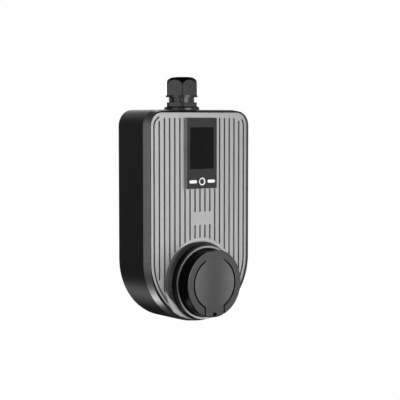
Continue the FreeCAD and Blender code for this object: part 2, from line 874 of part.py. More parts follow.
def socket_lid():
    """Hollow sprung lid with hinge cheeks, a pocket for the lugs and a finger notch."""
    hollow = rod(lid_r - lid_wall, 0, socket_z, lid_back + 1, lid_inner_face)
    hollow = hollow.cut(block(-lid_r, lid_r, lid_face, lid_back + 2, socket_z + lid_flat - lid_wall, socket_z + lid_r))
    shape = lid_cap().cut(hollow)
    cheeks = []
    for sign in (-1, 1):
        near = sign * (lug_inner + lug_width + cheek_gap)
        far = near + sign * cheek_width
        left = min(near, far)
        right = max(near, far)
        cheeks.append(block(left, right, lid_inner_face - 0.5, pin_y, pin_z - knuckle_r, pin_z + knuckle_r))
        cheeks.append(cross_rod(knuckle_r, pin_y, pin_z, left, right))
    shape = shape.fuse(cheeks).removeSplitter()
    pocket_half = lug_inner + lug_width + cheek_gap
    pocket = cross_rod(knuckle_r + hinge_clearance, pin_y, pin_z, -pocket_half, pocket_half)
    pocket_low = pin_z - knuckle_r - hinge_clearance
    behind = block(-pocket_half, pocket_half, pin_y, lid_back + 1, pocket_low, socket_z + lid_r)
    swing_r = pin_stand - hinge_clearance
    rim_reach = math.sqrt(max(swing_r ** 2 - (lid_flat - pin_rise) ** 2, 0.1))
    rim = block(-lid_r, lid_r, pin_y + rim_reach, lid_back + 1, pin_z - 0.3, socket_z + lid_r)
    bore = cross_rod(pin_r + button_clearance, pin_y, pin_z, -lid_r / 2, lid_r / 2)
    notch_low = socket_z - lid_r + notch_rise
    notch = slot(-notch_width / 2, notch_width / 2, notch_low, notch_low + notch_height,
                 lid_face + notch_depth, lid_face - 1)
    return shape.cut([pocket, behind, rim, bore, notch]).removeSplitter()


def lid_seal():
    """Soft ring inside the lid that meets the barrel's rim."""
    mid_r = barrel_r - barrel_wall / 2
    back = barrel_face - seal_gap
    outer = rod(mid_r + seal_width / 2, 0, socket_z, back, lid_inner_face)
    ring = outer.cut(rod(mid_r - seal_width / 2, 0, socket_z, back + 1, lid_inner_face - 1))
    reach = lug_inner + lug_width + cheek_gap + cheek_width + 0.5
    return ring.cut(block(-reach, reach, lid_inner_face - 1, back + 1, pin_z - knuckle_r - 0.2, pin_z + lid_r))


def lid_hinge_pin():
    """Steel pin through the lugs and the lid's cheeks."""
    reach = lug_inner + lug_width + cheek_gap + cheek_width - 0.2
    return cross_rod(pin_r, pin_y, pin_z, -reach, reach)


def lid_spring():
    """Torsion spring wound round the pin between the lugs."""
    length = 2 * (lug_inner - spring_wire_r - 0.3)
    helix = Part.makeHelix(length / spring_turns, length, spring_r)
    start = Vector(spring_r, 0, 0)
    circle = Part.makeCircle(spring_wire_r, start, Vector(0, 1, 0.1))
    coil = Part.Wire(helix).makePipeShell([Part.Wire(circle)], True, True)
    coil.rotate(Vector(0, 0, 0), Vector(0, 1, 0), 90)
    coil.translate(Vector(-length / 2, pin_y, pin_z))
    return coil


def lock_actuator():
    """Motor unit of the plug lock, seated on the barrel's pad."""
    body = lock_seat(lock_pad_top, lock_pad_top + actuator_height)
    body = body.makeFillet(actuator_edge_round, [e for e in body.Edges if e.BoundBox.ZLength > actuator_height / 2])
    bore = post(lock_pin_r + lock_bore_gap, 0, lock_y, lock_pad_top - 1, lock_pin_tip + lock_pin_length + lock_end_gap)
    return body.cut(bore)


def lock_pin():
    """Pin that drops into the plug; at rest its tip is inside the barrel's wall."""
    pin = post(lock_pin_r, 0, lock_y, lock_pin_tip, lock_pin_tip + lock_pin_length)
    low = [e for e in pin.Edges if e.BoundBox.ZMax < lock_pin_tip + 1e-4]
    return pin.makeFillet(lock_tip_round, low)


def gland_levels():
    """Heights of the gland's steps from the housing's top up."""
    washer_top = body_top + washer_height
    hex_top = washer_top + base_hex_height
    neck_top = hex_top + neck_height
    return washer_top, hex_top, neck_top, neck_top + nut_flange_height, neck_top + nut_flange_height + nut_height


def gland_washer():
    """Round base washer with a soft upper edge."""
    washer_top = gland_levels()[0]
    disc = post(washer_r, 0, gland_y, body_top, washer_top)
    disc = disc.makeFillet(1.6, [e for e in disc.Edges if e.BoundBox.ZMin > washer_top - 1e-4])
    return disc.cut(post(gland_thread_r + gland_hole_gap, 0, gland_y, body_top - 1, washer_top + 1))


def gland_body():
    """Threaded body: stem through the wall, hexagon, neck and the sleeve inside the nut."""
    washer_top, hex_top, neck_top, flange_top, nut_top = gland_levels()
    stem = post(gland_thread_r, 0, gland_y, body_top - shell_wall - thread_below, washer_top)
    hexagonal = hexagon(gland_flats, washer_top, hex_top, gland_turn)
    hexagonal = hexagonal.common(post(gland_flats / 2 * 1.09, 0, gland_y, washer_top, hex_top))
    sleeve_top = neck_top + nut_height * 0.4
    neck = post(neck_r, 0, gland_y, hex_top, neck_top)
    sleeve = post(neck_r - nut_wall + 0.4, 0, gland_y, neck_top, sleeve_top)
    bore = post(gland_bore_r, 0, gland_y, body_top - shell_wall - thread_below - 1, neck_top)
    seat = post(seal_outer_r, 0, gland_y, hex_top, sleeve_top + 1)
    shape = stem.fuse([hexagonal, neck, sleeve]).removeSplitter()
    flutes = []
    for i in range(12):
        angle = math.radians(30 * i + gland_turn)
        x = (neck_r + 0.5) * math.cos(angle)
        y = gland_y + (neck_r + 0.5) * math.sin(angle)
        flutes.append(post(1.2, x, y, hex_top + 0.8, neck_top - 0.8))
    return shape.cut([bore, seat] + flutes).removeSplitter()


def gland_dome_nut():
    """Cap nut: round flange, six flats and a domed shoulder down to the cable hole."""
    neck_top, flange_top, top = gland_levels()[2:]
    flange = post(nut_flange_r, 0, gland_y, neck_top, flange_top)
    hexagonal = hexagon(gland_flats, flange_top, top, gland_turn)

    def at(r, z):
        return Vector(r, gland_y, z)

    corner_r = gland_flats / math.sqrt(3) * nut_corner
    shoulder = top - nut_shoulder
    crown_r = (nut_top_r + corner_r) / 2 + nut_bulge
    wire = Part.Wire([
        Part.makeLine(at(0, flange_top), at(corner_r, flange_top)),
        Part.makeLine(at(corner_r, flange_top), at(corner_r, shoulder)),
        Part.Arc(at(corner_r, shoulder), at(crown_r, top - nut_shoulder * 0.3), at(nut_top_r, top)).toShape(),
        Part.makeLine(at(nut_top_r, top), at(0, top)),
        Part.makeLine(at(0, top), at(0, flange_top)),
    ])
    dome = Part.Face(wire).revolve(Vector(0, gland_y, 0), Vector(0, 0, 1), 360)
    shape = flange.fuse(hexagonal.common(dome)).removeSplitter()
    inner_r = neck_r - nut_wall + 0.6
    cavity = post(inner_r, 0, gland_y, neck_top - 1, shoulder)
    cone = Part.makeCone(inner_r, cable_hole_r, nut_shoulder - nut_wall, Vector(0, gland_y, shoulder))
    hole = post(cable_hole_r, 0, gland_y, shoulder, top + 1)
    return shape.cut([cavity, cone, hole]).removeSplitter()


def gland_seal():
    """Rubber bush that grips the cable."""
    hex_top = gland_levels()[1]
    outer = post(seal_outer_r - 0.1, 0, gland_y, hex_top, hex_top + seal_height)
    outer = outer.makeFillet(1.5, [e for e in outer.Edges if e.BoundBox.ZMin > hex_top + seal_height - 1e-4])
    return outer.cut(post(seal_bore_r, 0, gland_y, hex_top - 1, hex_top + seal_height + 1))


def gland_locknut():
    """Hexagonal nut that clamps the gland from inside the shell."""
    top = body_top - shell_wall
    nut = hexagon(gland_flats - 1, top - locknut_height, top, 30)
    return nut.cut(post(gland_thread_r, 0, gland_y, top - locknut_height - 1, top + 1))


def wall_inserts():
    """Four brass threaded inserts in the back wall."""
    inserts = []
    for x, z in wall_places():
        body = rod(insert_r, x, z, 0, -insert_length)
        inserts.append(body.cut(rod(insert_bore_r, x, z, 1, -insert_length + 1)))
    return Part.makeCompound(inserts)


def housing_screws():
    """Six screws from the back that pull the metal band on to the shell."""
    seat = -counterbore_depth
    tip = shell_front - screw_bite + 0.3
    return Part.makeCompound([screw(screw_r, screw_head_r, screw_head_height, x, z, seat, tip)
                              for x, z in pillar_places()])


def panel_screws():
    """Eight small screws behind the ledge."""
    seat = panel_back + ledge_thickness
    tip = panel_back - panel_screw_bite + 0.2
    return Part.makeCompound([screw(panel_screw_r, panel_screw_head_r, panel_screw_head, x, z, seat, tip)
                              for x, z in panel_screw_places()])


def socket_screws():
    """Four screws through the panel into the socket's flange."""
    tip = flange_back - core_depth + 1.5
    return Part.makeCompound([screw(panel_screw_r, panel_screw_head_r, panel_screw_head, x, z, panel_back, tip)
                              for x, z in socket_screw_places()])


def main_board():
    """Power board on its four stands."""
    half = main_board_width / 2
    back = main_board_front + board_thickness
    shape = block(-half, half, main_board_front, back, main_board_bottom, main_board_bottom + main_board_height)
    shape = shape.makeFillet(2.0, [e for e in shape.Edges if e.BoundBox.YLength > board_thickness / 2])
    holes = [rod(board_screw_r + 0.2, x, z, back + 1, main_board_front - 1) for x, z in stand_places()]
    return shape.cut(holes)


def board_screws():
    """Four screws that hold the main board, their heads towards the front."""
    screws = []
    for x, z in stand_places():
        head = rod(board_screw_head_r, x, z, main_board_front, main_board_front - board_screw_head)
        shank = rod(board_screw_r, x, z, main_board_front + board_thickness + 6, main_board_front)
        screws.append(head.fuse(shank).removeSplitter())
    return Part.makeCompound(screws)


def on_board(x, z, width, height, depth):
    """Box-shaped part seated on the main board."""
    return block(x - width / 2, x + width / 2, main_board_front - depth, main_board_front, z - height / 2,
                 z + height / 2)


def terminal_block():
    """Three-way screw terminal for the supply, under the gland."""
    shape = on_board(0, terminal_z, terminal_width, terminal_height, terminal_depth)
    middle = main_board_front - terminal_depth / 2
    cuts = []
    for i in (-1, 0, 1):
        x = i * terminal_pitch
        cuts.append(post(wire_hole_r, x, middle + 1, terminal_z, terminal_z + terminal_height))
        cuts.append(rod(clamp_hole_r, x, terminal_z, middle, main_board_front - terminal_depth - 1))
    return shape.cut(cuts).removeSplitter()


def power_relays():
    """Two sealed relays that switch the outlet."""
    relays = []
    for sign in (-1, 1):
        relay = on_board(sign * relay_x, relay_row_z, relay_width, relay_height, relay_depth)
        relays.append(relay.makeFillet(1.0, [e for e in relay.Edges if e.BoundBox.YLength > relay_depth / 2]))
    return Part.makeCompound(relays)


def supply_transformer():
    """Small transformer of the board's own supply: a core with a winding round it."""
    core = on_board(0, relay_row_z, transformer_width, transformer_height, transformer_depth)
    front = main_board_front - transformer_depth + 4
    back = main_board_front - 4
    low = relay_row_z - transformer_height / 2
    high = relay_row_z + transformer_height / 2
    window_half = transformer_width / 2 - 5
    window = block(-window_half, window_half, front, back, low - 1, high + 1)
    limb = block(-3, 3, front, back, low, high)
    return core.cut(window).fuse(limb).removeSplitter()


def leakage_sensor():
    """Ring core round the live wires, standing on the board."""
    ring = rod(sensor_r, sensor_x, lower_row_z, main_board_front, main_board_front - sensor_depth)
    return ring.cut(rod(sensor_bore_r, sensor_x, lower_row_z, main_board_front + 1, main_board_front - sensor_depth - 1))


def filter_capacitors():
    """Three upright capacitors."""
    front = main_board_front - capacitor_depth
    caps = []
    for i in range(3):
        cap = rod(capacitor_r, capacitor_start + i * capacitor_pitch, lower_row_z - 2, main_board_front, front)
        caps.append(cap.makeFillet(1.0, edges_at_depth(cap, front)))
    return Part.makeCompound(caps)


def save(name, shape):
    """Write one sub-part and print what it is."""
    shape.exportStep("parts/" + name + ".step")
    box = shape.BoundBox
    print("%-20s solids %2d valid %s volume %9.1f  x %7.1f %7.1f y %7.1f %7.1f z %7.1f %7.1f" % (
        name, len(shape.Solids), shape.isValid(), shape.Volume,
        box.XMin, box.XMax, box.YMin, box.YMax, box.ZMin, box.ZMax))


def main():
    save("rear_shell", rear_shell())
    save("housing_gasket", housing_gasket())
    save("mid_frame", mid_frame())
    save("front_panel", front_panel())
    save("display_bezel", display_bezel())
    save("display_lens", display_lens())
    save("display_module", display_module())
    save("display_spacer", display_spacer())
    save("control_board", control_board())
    save("light_guide_left", light_guide(-1))
    save("light_guide_right", light_guide(1))
    save("button_ring", button_ring())
    save("push_button", push_button())
    save("switch_plunger", switch_plunger())
    save("tact_switch", tact_switch())
    save("status_lights", status_lights())
    save("socket_gasket", socket_gasket())
    save("socket_housing", socket_housing())
    save("contact_block", contact_block())
    save("power_contacts", contacts(range(0, 5), power_hole_r))
    save("signal_contacts", contacts(range(5, 7), signal_hole_r))
    save("socket_lid", socket_lid())
    save("lid_seal", lid_seal())
    save("lid_hinge_pin", lid_hinge_pin())
    save("lid_spring", lid_spring())
    save("lock_actuator", lock_actuator())
    save("lock_pin", lock_pin())
    save("gland_washer", gland_washer())
    save("gland_body", gland_body())
    save("gland_dome_nut", gland_dome_nut())
    save("gland_seal", gland_seal())
    save("gland_locknut", gland_locknut())
    save("wall_inserts", wall_inserts())
    save("housing_screws", housing_screws())
    save("panel_screws", panel_screws())
    save("socket_screws", socket_screws())
    save("main_board", main_board())
    save("board_screws", board_screws())
    save("terminal_block", terminal_block())
    save("power_relays", power_relays())
    save("supply_transformer", supply_transformer())
    save("leakage_sensor", leakage_sensor())
    save("filter_capacitors", filter_capacitors())


main()
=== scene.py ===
"""Looks of the wall charger: materials, fine parts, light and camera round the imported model."""
import json
import math
import bmesh
import bpy
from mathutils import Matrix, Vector


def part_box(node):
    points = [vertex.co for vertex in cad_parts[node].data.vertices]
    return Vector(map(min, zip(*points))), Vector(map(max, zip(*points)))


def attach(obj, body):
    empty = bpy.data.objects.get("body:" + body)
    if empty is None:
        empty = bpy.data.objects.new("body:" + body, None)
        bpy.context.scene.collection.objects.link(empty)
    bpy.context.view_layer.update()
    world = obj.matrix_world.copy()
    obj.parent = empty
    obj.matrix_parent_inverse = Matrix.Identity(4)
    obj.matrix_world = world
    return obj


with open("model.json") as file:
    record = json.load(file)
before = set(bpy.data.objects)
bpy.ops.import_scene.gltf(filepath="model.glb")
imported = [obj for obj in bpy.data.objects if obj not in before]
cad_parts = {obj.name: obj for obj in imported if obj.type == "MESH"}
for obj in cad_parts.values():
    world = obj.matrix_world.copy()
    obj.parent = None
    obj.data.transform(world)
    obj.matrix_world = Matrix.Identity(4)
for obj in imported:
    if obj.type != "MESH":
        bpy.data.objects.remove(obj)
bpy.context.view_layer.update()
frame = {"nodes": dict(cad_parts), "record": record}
nodes = frame["nodes"]

MM = 0.001

# Camera, worked out from the photo, in metres
camera_place = Vector((-0.79571, -1.06928, 0.10651))
camera_target = Vector((-0.00001, -0.056, 0.01764))
focal_length_mm = 107.14
sensor_width_mm = 36.0

# Places on the model, in metres
socket_z = -70.9 * MM
ring_r = 40.4 * MM
ring_face = -67.2 * MM
contact_face = -70.0 * MM
collar_rim_r = 41.4 * MM
collar_outer_r = 46.6 * MM
panel_face = -56.0 * MM
panel_half = 66.3 * MM
bend_z = -46.25 * MM
lid_face = -81.75 * MM
lid_floor = -78.75 * MM
lid_disc_r = 26.9 * MM
lid_wall_r = 34.3 * MM
seal_inner_r = 26.3 * MM
seal_outer_r = 30.3 * MM
control_z = 37.9 * MM
cable_axis_y = -22.6 * MM
seal_bore_r = 7.5 * MM
insert_x = 40.0 * MM
insert_z = 70.0 * MM
insert_bore_r = 2.1 * MM

# Soft border of a mask, in metres
mask_edge = 0.1 * MM

# Socket ring: the slope of its hollow face, and the size and greys of a painted highlight line along its
# front edge
ring_hollow = 0.14
ring_highlight_outer_r = 39.4 * MM
ring_highlight_width = 1.0 * MM
ring_highlight_growth = 0.024
ring_highlight_drop = 0.022
ring_highlight_dark = 0.24
ring_highlight_light = 1.0

# Panel: painted shade on the collar's rim and left flank, a painted highlight on the rest of its flank,
# painted shade on the outermost line and in the grooves
collar_shade_r = 43.3 * MM
collar_shade_left = 3.6 * MM
collar_shade_low = 1.6 * MM
collar_shade_share = 0.93
# Painted shade on the panel's outermost line, widening low down on the left.
panel_shade_line = 0.5 * MM
panel_shade_growth = 0.052
panel_shade_reach = 36 * MM
groove_shade_share = 0.48

# Lid: how far its face is crowned, and the gloss of its sides
lid_crown = 2.2
lid_side_gloss = 0.04

# Lights beside the button: two long ones and a ring, with dark rims
pill_x = 12.4 * MM
pill_r = 2.1 * MM
pill_run = 3.5 * MM
pill_from = 5.5 * MM
ring_guide_r = 4.4 * MM
guide_rim = 0.5 * MM

# Fine parts, in metres
power_r = 3.9 * MM
signal_r = 2.4 * MM
contact_rim = 0.8 * MM
contacts = [
    (0, 0, power_r),
    (-14.5 * MM, 0, power_r),
    (14.5 * MM, 0, power_r),
    (-7.6 * MM, -13.0 * MM, power_r),
    (7.6 * MM, -13.0 * MM, power_r),
    (-6.5 * MM, 10.5 * MM, signal_r),
    (6.5 * MM, 10.5 * MM, signal_r),
]
hub_r = 11.0 * MM
rib_width = 1.2 * MM
rib_height = 1.5 * MM
rib_round = 0.3 * MM
boss_inner_r = 2.0 * MM
boss_outer_r = 3.4 * MM
spoke_angles = range(0, 360, 45)
gusset_angles = range(150, 391, 30)
gusset_height = 3.2 * MM
sunk_in = 0.1 * MM
lip_drops = (2.0 * MM, 5.0 * MM)
lip_reach = 0.9 * MM
lip_shoulder = 0.7 * MM
lip_height = 1.4 * MM
thread_start = 0.3 * MM
thread_pitch = 0.8 * MM
thread_depth = 7.6 * MM
thread_ridge = 0.18 * MM

# Steps round an edge, a small ring, a gland lip, the lid's hub and a turn of thread
edge_steps = 3
small_steps = 48
lip_steps = 64
hub_steps = 72
thread_steps = 24

# Floor, in metres, and its greys
floor_grey = 0.85
floor_height = -0.8
floor_reach = 6.0
floor_clear_r = 0.30
floor_white_r = 0.70
floor_glow = 0.6

# Studio: light from each height, as a share of the way from straight down to straight up, and its level
dark_below = (0.25, 0.01)
bright_from = (0.44, 0.26)
bright_to = (0.58, 0.26)
dark_above = (0.85, 0.005)
front_strength = 2.55
back_strength = 0.9
front_edge = -0.6
back_edge = 0.1

# Lamps: name, azimuth, elevation, distance, width, height, radiance and the point that it looks at
body_middle = (0, -30 * MM, 0)
lamps = [
    ("key", 8, 2, 1.6, 1.25, 0.85, 2.0, body_middle),
    ("right_strip", 54, -8, 1.6, 0.24, 0.34, 3.5, (0, -80 * MM, -70 * MM)),
    ("core_strip", 8, 3, 1.6, 0.14, 0.5, 4.5, body_middle),
    ("left_fill", -80, 4, 1.5, 1.0, 1.0, 1.0, body_middle),
    ("below_soft", 10, -55, 1.5, 0.8, 0.6, 2.0, body_middle),
    ("back_soft", 168, 18, 1.6, 1.2, 0.9, 2.4, body_middle),
    ("low_back", -163, -41, 0.9, 0.22, 0.34, 3.4, (-50 * MM, 0, -80 * MM)),
]


class Shader:
    """A principled material with short calls for the nodes that it needs."""

    def __init__(self, name):
        self.material = bpy.data.materials.new(name)
        self.material.use_nodes = True
        self.tree = self.material.node_tree
        self.nodes = self.tree.nodes
        self.bsdf = self.nodes["Principled BSDF"]
        self.place = self.add("ShaderNodeTexCoord").outputs["Object"]

    def add(self, kind, **values):
        """A new node with its properties or inputs set."""
        node = self.nodes.new(kind)
        for key, value in values.items():
            if key in node.inputs:
                node.inputs[key].default_value = value
            else:
                setattr(node, key, value)
        return node

    def link(self, output, target):
        """Join an output to an input of the shader, by name, or to any socket."""
        if isinstance(target, str):
            target = self.bsdf.inputs[target]
        self.tree.links.new(output, target)

    def fixed(self, **values):
        """Values that are the same all over the surface, on the shader's own sockets."""
        for key, value in values.items():
            self.bsdf.inputs[key.replace("_", " ")].default_value = value

    def noise(self, scale, detail=2.0, stretch=(1, 1, 1)):
        """Noise of so many cells a metre, stretched along an axis by a small share."""
        mapping = self.add("ShaderNodeMapping")
        mapping.inputs["Scale"].default_value = stretch
        self.link(self.place, mapping.inputs["Vector"])
        node = self.add("ShaderNodeTexNoise", Scale=scale, Detail=detail)
        self.link(mapping.outputs["Vector"], node.inputs["Vector"])
        return node.outputs["Fac"]

    def ranged(self, value, low, high, from_low=0.3, from_high=0.7):
        """A value carried to another range."""
        node = self.add("ShaderNodeMapRange")
        node.inputs["From Min"].default_value = from_low
        node.inputs["From Max"].default_value = from_high
        node.inputs["To Min"].default_value = low
        node.inputs["To Max"].default_value = high
        self.link(value, node.inputs["Value"])
        return node.outputs["Result"]

    def tinted(self, value, dark, light):
        """A colour between two, by a value."""
        node = self.add("ShaderNodeMix", data_type="RGBA")
        self.link(value, node.inputs["Factor"])
        node.inputs[6].default_value = (*dark, 1)
        node.inputs[7].default_value = (*light, 1)
        return node.outputs[2]

    def mixed(self, factor, first, second):
        """The first colour where a factor is 0, the second where it is 1."""
        node = self.add("ShaderNodeMix", data_type="RGBA")
        self.link(factor, node.inputs["Factor"])
        self.link(first, node.inputs[6])
        self.link(second, node.inputs[7])
        return node.outputs[2]

    def math(self, operation, first, second=0):
        """The result of two values, or of the first alone, as for a root."""
        node = self.add("ShaderNodeMath", operation=operation)
        for socket, value in zip(node.inputs, (first, second)):
            if isinstance(value, (int, float)):
                socket.default_value = value
            else:
                self.link(value, socket)
        return node.outputs[0]

    def axes(self):
        """The place on the object along X, Y and Z."""
        split = self.add("ShaderNodeSeparateXYZ")
        self.link(self.place, split.inputs["Vector"])
        return split.outputs["X"], split.outputs["Y"], split.outputs["Z"]

    def from_socket(self):
        """Distance from the socket's axis."""
        across, _, height = self.axes()
        flat = self.add("ShaderNodeCombineXYZ")
        self.link(across, flat.inputs["X"])
        self.link(height, flat.inputs["Z"])
        radius = self.add("ShaderNodeVectorMath", operation="DISTANCE")
        self.link(flat.outputs["Vector"], radius.inputs[0])
        radius.inputs[1].default_value = (0, 0, socket_z)
        return radius.outputs["Value"]

    def rim_of(self, first, second, radius):
        """1 where the length of two values is over a radius."""
        half = 0.08 * MM
        return self.ranged(self.length(first, second), 0, 1, radius - half, radius + half)

    def length(self, first, second):
        """Length of the way that has two values as its sides."""
        across = self.math("MULTIPLY", first, first)
        up = self.math("MULTIPLY", second, second)
        return self.math("SQRT", self.math("ADD", across, up))

    def step(self, value, at, half=mask_edge, falling=False):
        """0 below a value and 1 above it, or the other way round, with a soft border."""
        low, high = (1, 0) if falling else (0, 1)
        return self.ranged(value, low, high, at - half, at + half)

    def front(self, low=0.55, high=0.8):
        """1 on surfaces that face the front, 0 on their sides."""
        split = self.add("ShaderNodeSeparateXYZ")
        coordinates = self.add("ShaderNodeTexCoord")
        self.link(coordinates.outputs["Normal"], split.inputs["Vector"])
        return self.ranged(split.outputs["Y"], 0, 1, -low, -high)

    def bump(self, height, depth, strength=1.0, edge=0.0, base=None):
        """Fine relief, over softly rounded edges where edge is a radius, or over a base relief."""
        node = self.add("ShaderNodeBump", Strength=strength, Distance=depth)
        self.link(height, node.inputs["Height"])
        if base:
            self.link(base, node.inputs["Normal"])
        elif edge:
            rounding = self.add("ShaderNodeBevel", samples=4, Radius=edge)
            self.link(rounding.outputs["Normal"], node.inputs["Normal"])
        self.link(node.outputs["Normal"], "Normal")
        return node.outputs["Normal"]


def grey(level, warmth=0.0):
    """Near-neutral colour; a positive warmth takes it to yellow, a negative one to blue."""
    return (level * (1 + warmth), level, level * (1 - warmth))


def moulded_plastic(name, level, roughness, gloss, grain, edge=0.25 * MM, depth=0.02 * MM):
    """Moulded plastic with a fine grain and slightly uneven colour and gloss."""
    s = Shader(name)
    s.fixed(Specular_IOR_Level=gloss)
    cloud = s.noise(38, 3)
    fine = s.noise(grain, 4)
    s.link(s.tinted(s.ranged(cloud, 0, 1), grey(level * 0.86), grey(level * 1.14)), "Base Color")
    s.link(s.ranged(fine, roughness * 0.88, roughness * 1.14), "Roughness")
    s.bump(fine, depth, 0.6, edge)
    return s.material


def side_lit_plastic(name, side, face, roughness, gloss, grain, edge=0.2 * MM):
    """Moulded part of one grain whose sides are painted a lighter grey than its front: painted light on the
    sides.
    """
    s = Shader(name)
    s.fixed(Specular_IOR_Level=gloss)
    fine = s.noise(grain, 4)
    cloud = s.ranged(s.noise(45, 3), 0, 1)
    sides = s.tinted(cloud, grey(side * 0.92), grey(side * 1.08))
    faces = s.tinted(cloud, grey(face * 0.92), grey(face * 1.08))
    # Painted light: surfaces that face sideways are a lighter grey than the front.
    s.link(s.mixed(s.front(), sides, faces), "Base Color")
    s.link(s.ranged(fine, roughness - 0.04, roughness + 0.05), "Roughness")
    s.bump(fine, 0.015 * MM, 0.5, edge)
    return s.material


def crowned_lid(name, level, roughness, gloss, grain):
    """Black satin lid whose disc is slightly crowned from left to right, with duller sides."""
    s = Shader(name)
    s.fixed(Specular_IOR_Level=gloss)
    fine = s.noise(grain, 4)
    cloud = s.ranged(s.noise(45, 3), 0, 1)
    s.link(s.tinted(cloud, grey(level * 0.9), grey(level * 1.1)), "Base Color")
    s.link(s.ranged(fine, roughness - 0.04, roughness + 0.05), "Roughness")
    across, depth, _ = s.axes()
    floor = s.ranged(depth, 1, 0, lid_face + 0.15 * MM, lid_face + 0.4 * MM)
    shiny = s.math("MAXIMUM", floor, s.ranged(across, 0, 1, 0, 8 * MM))
    s.link(s.ranged(s.math("MULTIPLY", s.front(), shiny), lid_side_gloss, gloss, 0, 1), "Specular IOR Level")
    height = s.math("MULTIPLY", s.math("MULTIPLY", across, across), -lid_crown)
    inside = s.step(s.from_socket(), lid_disc_r, 0.2 * MM, falling=True)
    crown = s.add("ShaderNodeBump", Strength=1.0, Distance=1.0)
    s.link(height, crown.inputs["Height"])
    s.link(inside, crown.inputs["Strength"])
    s.bump(fine, 0.015 * MM, 0.5, base=crown.outputs["Normal"])
    return s.material


def socket_plastic(name, level, roughness, gloss, grain):
    """Black socket ring with a hollow front face and a painted highlight line along its front edge, wider
    and lighter above and below.
    """
    s = Shader(name)
    fine = s.noise(grain, 4)
    cloud = s.ranged(s.noise(45, 3), 0, 1)
    radius = s.from_socket()
    _, depth, height = s.axes()
    before = s.ranged(depth, 1, 0, ring_face + 0.4 * MM, ring_face + 0.5 * MM)
    rise = s.math("ABSOLUTE", s.math("SUBTRACT", height, socket_z))
    sunk = s.math("MAXIMUM", s.math("SUBTRACT", socket_z, height), 0)
    shifted = s.math("SUBTRACT", radius, s.math("MULTIPLY", sunk, ring_highlight_drop))
    widened = s.math("ADD", shifted, s.math("MULTIPLY", rise, ring_highlight_growth))
    inner = s.step(widened, ring_highlight_outer_r - ring_highlight_width)
    outer = s.step(shifted, ring_highlight_outer_r, falling=True)
    # Painted highlight: a light line along the ring's front edge, widest and lightest above and below the
    # socket.
    line = s.math("MULTIPLY", before, s.math("MULTIPLY", inner, outer))
    lightness = s.ranged(s.math("ADD", rise, sunk), 0, 1, 0, 2 * ring_r)
    plain = s.tinted(cloud, grey(level * 0.9), grey(level * 1.1))
    painted_highlight = s.tinted(lightness, grey(ring_highlight_dark), grey(ring_highlight_light))
    s.link(s.mixed(line, plain, painted_highlight), "Base Color")
    s.link(s.ranged(fine, roughness * 0.88, roughness * 1.14), "Roughness")
    front = s.front()
    s.link(s.ranged(front, 0.2, gloss, 0, 1), "Specular IOR Level")
    hollow = s.add("ShaderNodeBump", Distance=1.0)
    s.link(s.math("MULTIPLY", radius, ring_hollow), hollow.inputs["Height"])
    s.link(s.math("MULTIPLY", front, before), hollow.inputs["Strength"])
    s.bump(fine, 0.006 * MM, 0.6, base=hollow.outputs["Normal"])
    return s.material


def metal_paint(name, level, roughness, metal, flake, edge=0.2 * MM, masked=None):
    """Satin paint with fine metal flakes under it, and painted shade and highlight with their own metal and
    gloss where a mask says so.
    """
    coat = 0.15
    s = Shader(name)
    s.fixed(Metallic=metal, Coat_Weight=coat, Coat_Roughness=0.25)
    cells = s.add("ShaderNodeTexVoronoi", Scale=flake)
    s.link(s.place, cells.inputs["Vector"])
    shade = s.add("ShaderNodeSeparateColor")
    s.link(cells.outputs["Color"], shade.inputs["Color"])
    paint = s.tinted(shade.outputs["Red"], grey(level * 0.93), grey(level * 1.07))
    if masked:
        mask, dark, light, lightness, second_metal, second_gloss = masked(s)
        # Where the mask is on, painted shade and highlight take the place of the paint.
        paint = s.mixed(mask, paint, s.tinted(lightness, grey(dark), grey(light)))
        s.link(s.ranged(mask, metal, second_metal, 0, 1), "Metallic")
        s.link(s.ranged(mask, 0.5, second_gloss, 0, 1), "Specular IOR Level")
        s.link(s.ranged(mask, coat, coat * second_gloss, 0, 1), "Coat Weight")
    s.link(paint, "Base Color")
    cloud = s.noise(30, 3)
    s.link(s.ranged(cloud, roughness - 0.03, roughness + 0.03), "Roughness")
    s.bump(s.noise(5200, 2), 0.006 * MM, 0.5, edge)
    return s.material


def lip_gap_shade(s):
    """Mask, dark and light grey, lightness, metal and gloss of the band's front edge, painted near black as
    shade in the gap beside the panel.
    """
    return s.front(0.5, 0.7), 0.004, 0.008, s.noise(300), 0.0, 0.05


def panel_masks(s):
    """The same six for the panel: painted shade darkens the collar's rim and left flank, a painted highlight
    makes its flank pale above and below, and painted shade darkens the grooves and the outermost line."""
    radius = s.from_socket()
    across, depth, height = s.axes()
    outside = s.step(radius, collar_rim_r, 0.2 * MM)
    inside = s.ranged(radius, 1, 0, collar_outer_r, collar_outer_r + 1.0 * MM)
    flank = s.math("MULTIPLY", outside, inside)
    left = s.ranged(across, collar_shade_left, 0, -34 * MM, -4 * MM)
    level = s.ranged(height, 0, 1, socket_z - 18 * MM, socket_z - 6 * MM)
    lowness = s.ranged(height, collar_shade_low, 0, socket_z - 24 * MM, socket_z - 14 * MM)
    reach = s.math("ADD", s.math("SUBTRACT", radius, s.math("MULTIPLY", left, level)), lowness)
    # Painted shade on the collar's flank near its rim and along its left side, painted highlight beyond,
    # reaching further in low down.
    beyond = s.step(reach, collar_shade_r, 0.5 * MM)
    pale = s.math("MULTIPLY", flank, beyond)
    # Painted shade on the collar's rim beside the socket ring.
    rim = s.ranged(radius, 1, 0, collar_rim_r, collar_rim_r + 0.3 * MM)
    # Painted shade in the grooves.
    groove = s.ranged(depth, 0, groove_shade_share, panel_face + 0.3 * MM, panel_face + 1.2 * MM)
    collar = s.math("MAXIMUM", s.math("MULTIPLY", flank, collar_shade_share), rim)
    marked = s.math("MAXIMUM", collar, panel_gap_shade(s))
    return s.math("MAXIMUM", groove, marked), 0.03, 0.75, pale, 0.15, 0.3


